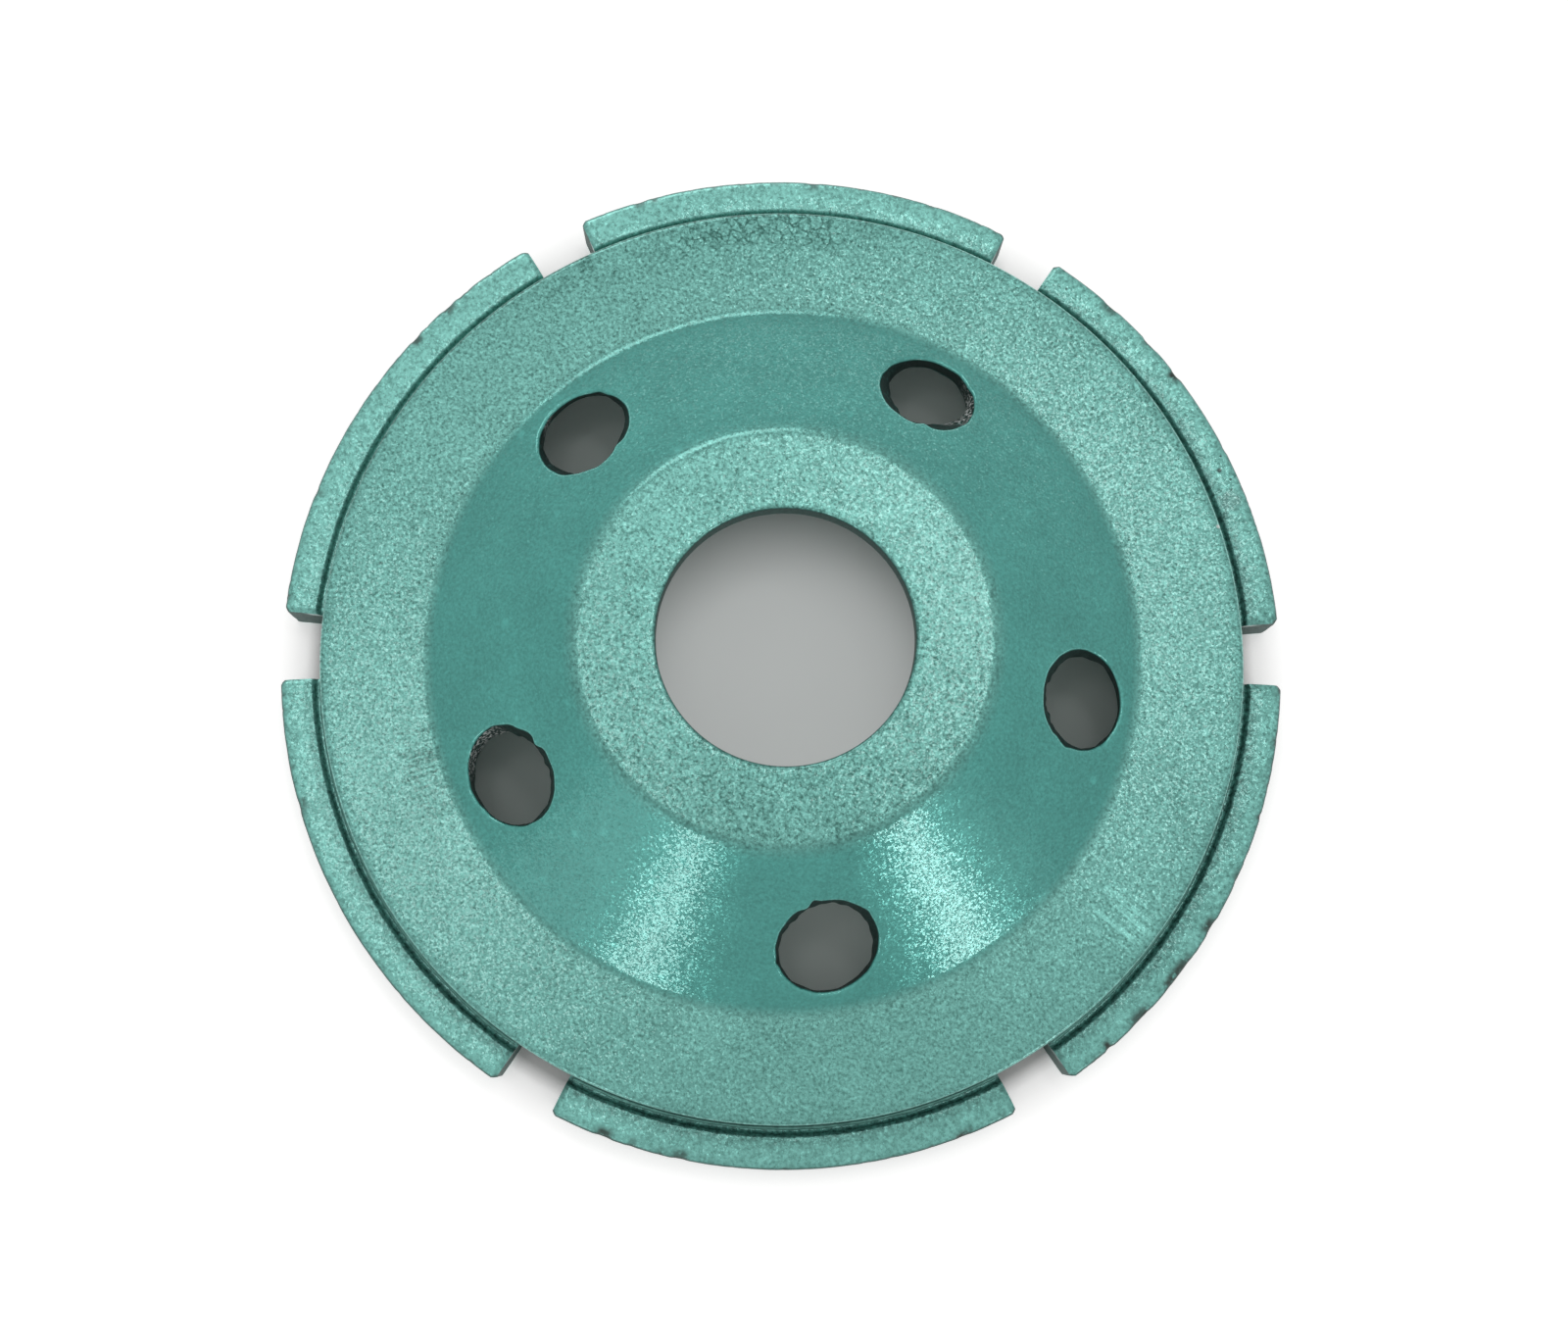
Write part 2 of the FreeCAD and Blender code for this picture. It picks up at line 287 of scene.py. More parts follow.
def green_paint(name, grain, contrast, tilt, flawed):
    """Green metallic spray paint, air-dried. Aluminium flakes make it glitter, and it
    draws up into a grain of light spots as it dries: coarse on the flats, where it
    lay wet for long, and fine on the cone, where it ran thin. The grain is drawn at
    its real size, 0.2 to 0.25 mm, and so are the flakes' clusters, 0.14 mm. Attribute
    "bare" is 1 where the metal shows, and "torn" where it is torn bright."""
    paint, tree = blank_material(name)
    where = add(tree, "ShaderNodeTexCoord").outputs
    place = where["Object"]
    spot = add(tree, "ShaderNodeSeparateXYZ", {0: place})
    level = add(tree, "ShaderNodeVectorMath", {0: place, 1: (1, 1, 0)}, operation="MULTIPLY")
    radius = add(tree, "ShaderNodeVectorMath", {0: level}, operation="LENGTH").outputs["Value"]
    # The flats of hub, flange and segments against the cone.
    hub = add(tree, "ShaderNodeMapRange", {
        "Value": radius, "From Min": 17.3 * MM, "From Max": 19.3 * MM,
        "To Min": 1.0, "To Max": 0.0}, interpolation_type="SMOOTHSTEP")
    flange = add(tree, "ShaderNodeMapRange", {
        "Value": radius, "From Min": 30.8 * MM, "From Max": 32.2 * MM},
        interpolation_type="SMOOTHSTEP")
    flats = add(tree, "ShaderNodeMath", {0: hub, 1: flange}, operation="MAXIMUM")
    # Grain: spots with a brightness each, and a finer unevenness over them.
    spots = add(tree, "ShaderNodeTexVoronoi", {
        "Vector": place, "Scale": 1 / (grain * MM), "Randomness": 1.0}, feature="F1")
    shade = add(tree, "ShaderNodeSeparateColor", {0: spots.outputs["Color"]})
    flakes = add(tree, "ShaderNodeTexVoronoi", {
        "Vector": place, "Scale": 1 / (0.14 * MM), "Randomness": 1.0}, feature="F1")
    uneven = add(tree, "ShaderNodeTexNoise", {
        "Vector": place, "Scale": 1 / (1.5 * grain * MM), "Detail": 2.0, "Roughness": 0.6})
    clouds = add(tree, "ShaderNodeTexNoise", {
        "Vector": place, "Scale": 1 / (5.0 * MM), "Detail": 3.0})
    drops = add(tree, "ShaderNodeTexVoronoi", {
        "Vector": place, "Scale": 1 / (2.4 * MM), "Randomness": 1.0}, feature="F1")
    drop_pick = add(tree, "ShaderNodeSeparateColor", {0: drops.outputs["Color"]})
    drop_pick = add(tree, "ShaderNodeMath", {0: drop_pick, 1: 0.78}, operation="GREATER_THAN")
    drop = add(tree, "ShaderNodeMapRange", {
        "Value": drops.outputs["Distance"], "From Min": 0.10, "From Max": 0.22,
        "To Min": 1.0, "To Max": 0.0}, interpolation_type="SMOOTHSTEP")
    drop = add(tree, "ShaderNodeMath", {0: drop, 1: drop_pick}, operation="MULTIPLY")
    tone = add(tree, "ShaderNodeMath", {0: shade, 1: 0.5}, operation="SUBTRACT")
    tone = add(tree, "ShaderNodeMath", {0: tone, 1: 0.32}, operation="MULTIPLY")
    soft = add(tree, "ShaderNodeMath", {0: uneven, 1: 0.5}, operation="SUBTRACT")
    tone = add(tree, "ShaderNodeMath", {0: soft, 1: 1.3, 2: tone}, operation="MULTIPLY_ADD")
    amount = add(tree, "ShaderNodeMapRange", {
        "Value": flats, "To Min": 0.33 * contrast, "To Max": contrast})
    # The grain is fainter on the side away from the spray, and on the cup that side is also
    # painted darker, as painted shade. Both "spray" and "side" are metres from the axis
    # towards a side, 100 and 131 degrees round from +X.
    spray = add(tree, "ShaderNodeVectorMath", {
        0: place, 1: (math.cos(1.75), math.sin(1.75), 0)}, operation="DOT_PRODUCT")
    far_side_fade_and_shade = add(tree, "ShaderNodeMapRange", {
        "Value": spray.outputs["Value"], "From Min": -38 * MM, "From Max": -8 * MM,
        "To Min": 0.66, "To Max": 1.0})
    amount = add(tree, "ShaderNodeMath", {0: amount, 1: far_side_fade_and_shade}, operation="MULTIPLY")
    tone = add(tree, "ShaderNodeMath", {0: tone, 1: amount}, operation="MULTIPLY")
    tone = add(tree, "ShaderNodeMath", {0: drop, 1: 0.16, 2: tone}, operation="MULTIPLY_ADD")
    tone = add(tree, "ShaderNodeMath", {0: clouds, 1: 0.24, 2: tone}, operation="MULTIPLY_ADD")
    tone = add(tree, "ShaderNodeMath", {0: tone, 1: 0.38}, operation="ADD")
    height = uneven
    # Painted light and shade: the hub is painted lighter towards the spray's side, the cup's
    # far side darker, and the segments lighter towards "side".
    side = add(tree, "ShaderNodeVectorMath", {
        0: place, 1: (math.cos(2.28), math.sin(2.28), 0)}, operation="DOT_PRODUCT")
    if flawed:
        thick = add(tree, "ShaderNodeMath", {0: spray.outputs["Value"], 1: 6.5, 2: -0.04},
                    operation="MULTIPLY_ADD")
        tone = add(tree, "ShaderNodeMath", {0: thick, 1: hub, 2: tone},
                   operation="MULTIPLY_ADD")
        thin = add(tree, "ShaderNodeMath", {0: far_side_fade_and_shade, 1: 1.0}, operation="SUBTRACT")
        tone = add(tree, "ShaderNodeMath", {0: thin, 1: 0.22, 2: tone},
                   operation="MULTIPLY_ADD")
    else:
        tone = add(tree, "ShaderNodeMath", {0: side.outputs["Value"], 1: 2.4, 2: tone},
                   operation="MULTIPLY_ADD")
        tone = add(tree, "ShaderNodeMath", {0: tone, 1: 0.16}, operation="ADD")
    if flawed:
        # Near the rim on one side the paint wrinkled as it dried: dark lines between
        # cells of about 0.9 mm, in patches.
        turn = add(tree, "ShaderNodeMath", {0: spot.outputs[1], 1: spot.outputs[0]},
                   operation="ARCTAN2")
        pushed = add(tree, "ShaderNodeTexNoise", {"Vector": place, "Scale": 1 / (1.5 * MM)})
        pushed = add(tree, "ShaderNodeVectorMath", {
            0: pushed.outputs["Color"], 1: (1.1 * MM, 1.1 * MM, 1.1 * MM), 2: place},
            operation="MULTIPLY_ADD")
        wrinkle = add(tree, "ShaderNodeTexVoronoi", {
            "Vector": pushed, "Scale": 1 / (0.9 * MM)}, feature="DISTANCE_TO_EDGE")
        wrinkle = add(tree, "ShaderNodeMapRange", {
            "Value": wrinkle, "From Min": 0.0, "From Max": 0.16, "To Min": 1.0,
            "To Max": 0.0}, interpolation_type="SMOOTHSTEP")
        patch = add(tree, "ShaderNodeTexNoise", {
            "Vector": place, "Scale": 1 / (3.2 * MM), "Detail": 2.0})
        patch = add(tree, "ShaderNodeMapRange", {
            "Value": patch, "From Min": 0.40, "From Max": 0.58},
            interpolation_type="SMOOTHSTEP")
        band = add(tree, "ShaderNodeMapRange", {
            "Value": radius, "From Min": 36.8 * MM, "From Max": 39.6 * MM},
            interpolation_type="SMOOTHSTEP")
        begins = add(tree, "ShaderNodeMapRange", {
            "Value": turn, "From Min": math.radians(84), "From Max": math.radians(96)},
            interpolation_type="SMOOTHSTEP")
        ends = add(tree, "ShaderNodeMapRange", {
            "Value": turn, "From Min": math.radians(116), "From Max": math.radians(146),
            "To Min": 1.0, "To Max": 0.0}, interpolation_type="SMOOTHSTEP")
        for mask in (patch, band, begins, ends):
            wrinkle = add(tree, "ShaderNodeMath", {0: wrinkle, 1: mask}, operation="MULTIPLY")
        # Two patches of fine lines that run out from the axis: puckers beside the
        # cone's foot, and rub marks across the flange.
        line_place = add(tree, "ShaderNodeMath", {0: radius, 1: 180.0}, operation="MULTIPLY")
        line_turn = add(tree, "ShaderNodeMath", {0: turn, 1: 95.0}, operation="MULTIPLY")
        line_place = add(tree, "ShaderNodeCombineXYZ", {0: line_place, 1: line_turn})
        lines = add(tree, "ShaderNodeTexNoise", {
            "Vector": line_place, "Scale": 1.0, "Detail": 1.0, "Distortion": 0.6})
        lines = add(tree, "ShaderNodeMapRange", {
            "Value": lines, "From Min": 0.46, "From Max": 0.60},
            interpolation_type="SMOOTHSTEP")
        # Degrees round the wheel, half how wide, from and to what radius, and strength.
        for middle, wide, r_start, r_end, strength in (
                (-152.0, 13.0, 31.0, 35.5, 0.55), (-27.6, 5.5, 34.4, 41.0, -0.85)):
            away = add(tree, "ShaderNodeMath", {0: turn, 1: math.radians(middle)},
                       operation="SUBTRACT")
            away = add(tree, "ShaderNodeMath", {0: away}, operation="ABSOLUTE")
            near = add(tree, "ShaderNodeMapRange", {
                "Value": away, "From Min": 0.0, "From Max": math.radians(wide),
                "To Min": strength, "To Max": 0.0}, interpolation_type="SMOOTHSTEP")
            reach = add(tree, "ShaderNodeMath", {0: radius, 1: 0.5 * (r_start + r_end) * MM},
                        operation="SUBTRACT")
            reach = add(tree, "ShaderNodeMath", {0: reach}, operation="ABSOLUTE")
            reach = add(tree, "ShaderNodeMapRange", {
                "Value": reach, "From Min": 0.25 * (r_end - r_start) * MM,
                "From Max": 0.55 * (r_end - r_start) * MM, "To Min": 1.0, "To Max": 0.0},
                interpolation_type="SMOOTHSTEP")
            streak = add(tree, "ShaderNodeMath", {0: lines, 1: near}, operation="MULTIPLY")
            streak = add(tree, "ShaderNodeMath", {0: streak, 1: reach}, operation="MULTIPLY")
            wrinkle = add(tree, "ShaderNodeMath", {0: wrinkle, 1: streak}, operation="ADD")
        tone = add(tree, "ShaderNodeMath", {0: wrinkle, 1: -0.50, 2: tone},
                   operation="MULTIPLY_ADD")
        height = add(tree, "ShaderNodeMath", {0: wrinkle, 1: -1.0, 2: height},
                     operation="MULTIPLY_ADD")
    # Where the flakes lie flat the paint is paler, and on the cone it is a purer green.
    dark = add(tree, "ShaderNodeMix", {
        0: flats, 6: colour("#12655C"), 7: colour("#1F6A60")}, data_type="RGBA")
    light = add(tree, "ShaderNodeMix", {
        0: flats, 6: colour("#70E2D6"), 7: colour("#95E8DC")}, data_type="RGBA")
    tint = add(tree, "ShaderNodeMix", {
        0: tone, 6: dark.outputs[2], 7: light.outputs[2]}, data_type="RGBA")
    # Painted shade: dark green painted into the groove between the rim and the segments' lips,
    # and along the rim's lower outer edge, where shade falls.
    if flawed:
        deep = add(tree, "ShaderNodeMapRange", {
            "Value": radius, "From Min": 40.85 * MM, "From Max": 41.0 * MM})
        low = add(tree, "ShaderNodeMath", {0: side.outputs["Value"], 1: -0.012,
                                           2: spot.outputs[2]}, operation="MULTIPLY_ADD")
        low = add(tree, "ShaderNodeMapRange", {
            "Value": low, "From Min": 6.88 * MM, "From Max": 7.10 * MM,
            "To Min": 1.0, "To Max": 0.0})
    else:
        groove_shade_reach = add(tree, "ShaderNodeMath", {0: side.outputs["Value"], 1: -0.006,
                                                 2: 43.6 * MM}, operation="MULTIPLY_ADD")
        deep = add(tree, "ShaderNodeMapRange", {
            "Value": radius, "From Min": 42.10 * MM, "From Max": groove_shade_reach,
            "To Min": 1.0, "To Max": 0.0}, interpolation_type="SMOOTHSTEP")
        low = add(tree, "ShaderNodeMapRange", {
            "Value": spot.outputs[2], "From Min": 4.5 * MM, "From Max": 4.7 * MM})
    painted_groove_shade = add(tree, "ShaderNodeMath", {0: deep, 1: low}, operation="MULTIPLY")
    # Painted shade: upright faces and the steep parts of rounded edges are painted dark green.
    upright = add(tree, "ShaderNodeSeparateXYZ", {0: where["Normal"]})
    upright = add(tree, "ShaderNodeMath", {0: upright.outputs[2]}, operation="ABSOLUTE")
    upright = add(tree, "ShaderNodeMapRange", {
        "Value": upright, "From Min": 0.20 if flawed else 0.60,
        "From Max": 0.70 if flawed else 0.93,
        "To Min": 0.90, "To Max": 0.0})
    outside = add(tree, "ShaderNodeMath", {0: 1.0, 1: painted_groove_shade}, operation="SUBTRACT")
    upright = add(tree, "ShaderNodeMath", {0: upright, 1: outside}, operation="MULTIPLY")
    tint = add(tree, "ShaderNodeMix", {
        0: upright, 6: tint.outputs[2], 7: colour("#163B36")}, data_type="RGBA")
    # The painted groove shade is patchy, and weaker towards the side the spray came from.
    patchy = add(tree, "ShaderNodeTexNoise", {
        "Vector": place, "Scale": 1 / (0.5 * MM), "Detail": 2.0, "Roughness": 0.6})
    patchy = add(tree, "ShaderNodeMapRange", {
        "Value": patchy, "From Min": 0.35, "From Max": 0.65, "To Min": 0.4, "To Max": 1.4})
    strength = add(tree, "ShaderNodeMapRange", {
        "Value": (spray if flawed else side).outputs["Value"],
        "From Min": -10 * MM, "From Max": 40 * MM,
        "To Min": 1.25 if flawed else 0.50, "To Max": 0.45 if flawed else 0.15})
    painted_groove_shade = add(tree, "ShaderNodeMath", {0: painted_groove_shade, 1: strength}, operation="MULTIPLY")
    painted_groove_shade = add(tree, "ShaderNodeMath", {0: painted_groove_shade, 1: patchy}, operation="MULTIPLY",
               use_clamp=True)
    # The painted groove shade goes into the colour here.
    tint = add(tree, "ShaderNodeMix", {0: painted_groove_shade, 6: tint.outputs[2], 7: colour("#0C2824")},
               data_type="RGBA")
    # Small marks: degrees round the wheel, radius, size in mm, how strong, and colour. On the
    # cup the near-white mark at the rim's edge is a painted highlight.
    for at, out, size, strength, code in (
            ((27.2, 40.95, 0.24, 0.8, "#EEF2F0"), (178.0, 36.9, 0.22, 0.7, "#23544D")) if flawed
            else ((34.1, 43.6, 0.30, 0.9, "#16332F"), (32.6, 44.2, 0.17, 0.8, "#16332F"),
                  (31.4, 43.9, 0.15, 0.8, "#16332F"), (35.6, 44.3, 0.14, 0.8, "#16332F"),
                  (30.2, 43.5, 1.30, 0.5, "#5F8580"), (63.4, 43.5, 0.20, 0.7, "#16332F"))):
        a = math.radians(at)
        gap = add(tree, "ShaderNodeVectorMath", {
            0: level, 1: (out * MM * math.cos(a), out * MM * math.sin(a), 0)},
            operation="DISTANCE")
        mark = add(tree, "ShaderNodeMapRange", {
            "Value": gap.outputs["Value"], "From Min": 0.4 * size * MM, "From Max": size * MM,
            "To Min": strength, "To Max": 0.0}, interpolation_type="SMOOTHSTEP")
        tint = add(tree, "ShaderNodeMix", {0: mark, 6: tint.outputs[2], 7: colour(code)},
                   data_type="RGBA")
    # Bare metal with some of the paint's spatter on it. On the cup's vent walls the colour is
    # near-black: bare steel with the painted shade of the hollow in it. Where a wall is torn,
    # painted glints: bright spots put into the colour.
    bare = add(tree, "ShaderNodeAttribute", attribute_name="bare").outputs["Fac"]
    spatter = add(tree, "ShaderNodeTexNoise", {
        "Vector": place, "Scale": 1 / (0.7 * MM), "Detail": 2.0, "Roughness": 0.6})
    spatter = add(tree, "ShaderNodeMapRange", {
        "Value": spatter, "From Min": 0.56, "From Max": 0.68, "To Min": 1.0,
        "To Max": 0.70 if flawed else 0.15})
    bare = add(tree, "ShaderNodeMath", {0: bare, 1: spatter}, operation="MULTIPLY")
    tint = add(tree, "ShaderNodeMix", {
        0: bare, 6: tint.outputs[2], 7: colour("#12302C" if flawed else "#333D37")},
        data_type="RGBA")
    torn = add(tree, "ShaderNodeAttribute", attribute_name="torn").outputs["Fac"]
    painted_glint = add(tree, "ShaderNodeTexNoise", {
        "Vector": place, "Scale": 1 / (0.28 * MM), "Detail": 2.0, "Roughness": 0.6})
    painted_glint = add(tree, "ShaderNodeMapRange", {
        "Value": painted_glint, "From Min": 0.50, "From Max": 0.60})
    torn = add(tree, "ShaderNodeMath", {0: torn, 1: painted_glint}, operation="MULTIPLY")
    tint = add(tree, "ShaderNodeMix", {0: torn, 6: tint.outputs[2], 7: colour("#D9DEDC")},
               data_type="RGBA")
    # The flakes: each spot leans its own way, so some of them flash and others go dark.
    # The clear coat over them follows them less.
    lean = add(tree, "ShaderNodeVectorMath", {
        0: flakes.outputs["Color"], 1: (0.5, 0.5, 0.5)}, operation="SUBTRACT")
    facings = []
    for on_cone, on_flats in ((1.25 * tilt, 1.2 * tilt), (0.85 * tilt, 0.9 * tilt)):
        amount = add(tree, "ShaderNodeMapRange", {
            "Value": flats, "To Min": on_cone, "To Max": on_flats})
        facing = add(tree, "ShaderNodeVectorMath", {0: lean, "Scale": amount},
                     operation="SCALE")
        facing = add(tree, "ShaderNodeVectorMath", {
            0: facing, 1: add(tree, "ShaderNodeNewGeometry").outputs["Normal"]},
            operation="ADD")
        facing = add(tree, "ShaderNodeVectorMath", {0: facing}, operation="NORMALIZE")
        facings.append(add(tree, "ShaderNodeBump", {
            "Height": height, "Strength": 1.0, "Distance": 0.006 * MM, "Normal": facing}))
    shine = add(tree, "ShaderNodeMapRange", {"Value": flats, "To Min": 0.19, "To Max": 0.24})
    shine = add(tree, "ShaderNodeMath", {0: uneven, 1: 0.08, 2: shine},
                operation="MULTIPLY_ADD")
    # The painted shade in the groove and on upright faces, and bare metal, have no clear coat.
    metal = add(tree, "ShaderNodeMapRange", {"Value": flats, "To Min": 0.38, "To Max": 0.55})
    dull = add(tree, "ShaderNodeMath", {0: bare, 1: upright}, operation="MAXIMUM")
    shine = add(tree, "ShaderNodeMath", {0: dull, 1: 0.45, 2: shine}, operation="MULTIPLY_ADD")
    dull = add(tree, "ShaderNodeMath", {0: 1.0, 1: dull}, operation="SUBTRACT")
    metal = add(tree, "ShaderNodeMath", {0: metal, 1: dull}, operation="MULTIPLY")
    glossy = add(tree, "ShaderNodeMath", {0: painted_groove_shade, 1: upright}, operation="MAXIMUM")
    glossy = add(tree, "ShaderNodeMath", {0: glossy, 1: bare}, operation="MAXIMUM")
    glossy = add(tree, "ShaderNodeMath", {0: 1.0, 1: glossy}, operation="SUBTRACT")
    coat = add(tree, "ShaderNodeBsdfPrincipled", {
        "Base Color": tint.outputs[2], "Metallic": metal, "Roughness": shine,
        "Normal": facings[0], "Coat Weight": glossy, "Coat Roughness": 0.13,
        "Coat Normal": facings[1]})
    add(tree, "ShaderNodeOutputMaterial", {0: coat})
    return paint


cup.data.materials.append(green_paint(
    "green_metallic_paint_on_steel", 0.20, 1.18, 0.13, True))
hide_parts("cup_body")
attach(cup, "root")

# The six segments ---------------------------------------------------------------
# Metal powder and diamond grit, pressed and sintered to arcs with an L-shaped
# section, then brazed by hand under the flange, so their gaps differ a little. The
# paint over them is the same coat, coarser where the grit stands up.
OUTSIDE = 45.0           # outer radius of the segments
SEGMENT_ARCS = ((14.7, 66.2), (73.1, 125.2), (132.5, 185.4),
                (193.4, 246.6), (253.9, 307.5), (314.7, 367.4))   # degrees
SEGMENT = {"Outside Radius": OUTSIDE * MM, "Width": 8.0 * MM, "Height": 5.5 * MM,
           "Lip Width": 3.0 * MM, "Lip Rise": 0.5 * MM, "Corner Round": 0.36 * MM,
           "Lip Crown": 0.06 * MM, "Lump Height": 0.08 * MM, "Edge Wear": 0.08 * MM}
# Marks on the segments' outer edges: at how many degrees round the wheel, how long,
# how far the top edge is broken off, and how far flash stands out below it, in mm.
EDGE_MARKS = {
    1: ((46.8, 1.1, 0.10, 0.0), (57.9, 1.6, 0.08, 0.0), (52.0, 0.7, 0.05, 0.0)),
    2: ((97.0, 1.2, 0.06, 0.0), (118.0, 0.9, 0.06, 0.0)),
    3: ((144.1, 1.3, 0.08, 0.0), (149.4, 1.2, 0.09, 0.0), (171.0, 0.8, 0.05, 0.0)),
    4: ((219.7, 0.7, 0.0, 0.20), (208.0, 1.2, 0.06, 0.0)),
    5: ((260.2, 1.4, 0.10, 0.0), (269.0, 1.3, 0.08, 0.05), (263.5, 0.7, 0.05, 0.0)),
    6: ((338.1, 1.6, 0.10, 0.05), (331.6, 3.8, 0.10, 0.22), (320.1, 0.7, 0.11, 0.0),
        (325.0, 2.4, 0.09, 0.1))}


def arc_tree(name, sizes, made):
    """A geometry tree that takes an arc, named sizes, a seed and a paint, and its inputs'
    sockets inside the tree."""
    tree = bpy.data.node_groups.new(name, "GeometryNodeTree")
    for label, kind in [("Start Angle", "Float"), ("Sweep Angle", "Float")] + [
            (label, "Float") for label in sizes] + [("Seed", "Int"), ("Paint", "Material")]:
        tree.interface.new_socket(label, in_out="INPUT", socket_type="NodeSocket" + kind)
    tree.interface.new_socket(made, in_out="OUTPUT", socket_type="NodeSocketGeometry")
    return tree, add(tree, "NodeGroupInput").outputs


st, given = arc_tree("sintered_segment", SEGMENT, "Segment")
# The section about its own middle: X runs out from the axis, and Y runs down.
right = add(st, "ShaderNodeMath", {0: given["Width"], 1: 0.5}, operation="MULTIPLY")
left = add(st, "ShaderNodeMath", {0: given["Width"], 1: -0.5}, operation="MULTIPLY")
upper = add(st, "ShaderNodeMath", {0: given["Height"], 1: -0.5}, operation="MULTIPLY")
lower = add(st, "ShaderNodeMath", {0: given["Height"], 1: 0.5}, operation="MULTIPLY")
lip = add(st, "ShaderNodeMath", {0: right, 1: given["Lip Width"]}, operation="SUBTRACT")
seat = add(st, "ShaderNodeMath", {0: upper, 1: given["Lip Rise"]}, operation="ADD")
corners = [add(st, "ShaderNodeCombineXYZ", {0: x, 1: y}) for x, y in (
    (left, lower), (right, lower), (right, upper), (lip, upper), (lip, seat), (left, seat))]
joined = add(st, "GeometryNodeJoinGeometry")
for k in range(5, -1, -1):
    side = add(st, "GeometryNodeCurvePrimitiveLine", {
        "Start": corners[k], "End": corners[(k + 1) % 6]})
    st.links.new(side.outputs[0], joined.inputs[0])
outline = add(st, "GeometryNodeCurveToMesh", {"Curve": joined})
outline = add(st, "GeometryNodeMergeByDistance", {"Geometry": outline, "Distance": 1e-6})
outline = add(st, "GeometryNodeMeshToCurve", {"Mesh": outline})
outline = add(st, "GeometryNodeFilletCurve", {
    "Curve": outline, "Count": 5, "Radius": given["Corner Round"], "Limit Radius": True},
    mode="POLY")
outline = add(st, "GeometryNodeResampleCurve", {"Curve": outline, "Count": 132})
# The arc that the section follows, drawn in a little at its ends to round them.
reach = add(st, "ShaderNodeMath", {0: given["Outside Radius"], 1: right}, operation="SUBTRACT")
path = add(st, "GeometryNodeCurveArc", {
    "Resolution": 200, "Radius": reach, "Start Angle": given["Start Angle"],
    "Sweep Angle": given["Sweep Angle"]}, mode="RADIUS")
path = add(st, "GeometryNodeSetCurveNormal", {"Curve": path}, mode="Z_UP")
along = add(st, "GeometryNodeSplineParameter").outputs["Length"]
whole = add(st, "ShaderNodeMath", {0: reach, 1: given["Sweep Angle"]}, operation="MULTIPLY")
back_along = add(st, "ShaderNodeMath", {0: whole, 1: along}, operation="SUBTRACT")
near_end = add(st, "ShaderNodeMath", {0: along, 1: back_along}, operation="MINIMUM")
taper = add(st, "ShaderNodeMapRange", {
    "Value": near_end, "From Min": 0.0, "From Max": given["Corner Round"],
    "To Min": 0.93, "To Max": 1.0}, interpolation_type="SMOOTHERSTEP")
block = add(st, "GeometryNodeCurveToMesh", {
    "Curve": path, "Profile Curve": outline, "Scale": taper, "Fill Caps": True})
lift = add(st, "ShaderNodeCombineXYZ", {2: lower})
block = add(st, "GeometryNodeTransform", {"Geometry": block, "Translation": lift})
# How far out and how high a point lies. The lip is crowned, and lumpy with grit.
spot = add(st, "GeometryNodeInputPosition")
xyz = add(st, "ShaderNodeSeparateXYZ", {0: spot})
level = add(st, "ShaderNodeVectorMath", {0: spot, 1: (1, 1, 0)}, operation="MULTIPLY")
radius = add(st, "ShaderNodeVectorMath", {0: level}, operation="LENGTH").outputs["Value"]
half_lip = add(st, "ShaderNodeMath", {0: given["Lip Width"], 1: 0.5}, operation="MULTIPLY")
lip_middle = add(st, "ShaderNodeMath", {0: given["Outside Radius"], 1: half_lip},
                 operation="SUBTRACT")
off_middle = add(st, "ShaderNodeMath", {0: radius, 1: lip_middle}, operation="SUBTRACT")
off_middle = add(st, "ShaderNodeMath", {0: off_middle, 1: half_lip}, operation="DIVIDE")
crown = add(st, "ShaderNodeMath", {0: off_middle, 1: off_middle}, operation="MULTIPLY")
crown = add(st, "ShaderNodeMath", {0: crown, 1: given["Lip Crown"]}, operation="MULTIPLY")
crown = add(st, "ShaderNodeMath", {0: crown, 1: -1.0}, operation="MULTIPLY")
on_lip = add(st, "ShaderNodeMath", {0: given["Height"], 1: 0.3 * MM}, operation="SUBTRACT")
on_lip = add(st, "ShaderNodeMath", {0: xyz.outputs[2], 1: on_lip}, operation="GREATER_THAN")
crown = add(st, "ShaderNodeMath", {0: crown, 1: on_lip}, operation="MULTIPLY")
crown = add(st, "ShaderNodeCombineXYZ", {2: crown})
block = add(st, "GeometryNodeSetPosition", {"Geometry": block, "Offset": crown})
lump = add(st, "ShaderNodeTexNoise", {
    "Vector": spot, "W": given["Seed"], "Scale": 1 / (2.0 * MM), "Detail": 1.0},
    noise_dimensions="4D")
push = add(st, "ShaderNodeMath", {0: lump, 1: 0.70}, operation="SUBTRACT")
push = add(st, "ShaderNodeMath", {0: push, 1: given["Lump Height"]}, operation="MULTIPLY")
push = add(st, "ShaderNodeVectorMath", {
    0: add(st, "GeometryNodeInputNormal"), "Scale": push}, operation="SCALE")
block = add(st, "GeometryNodeSetPosition", {"Geometry": block, "Offset": push})
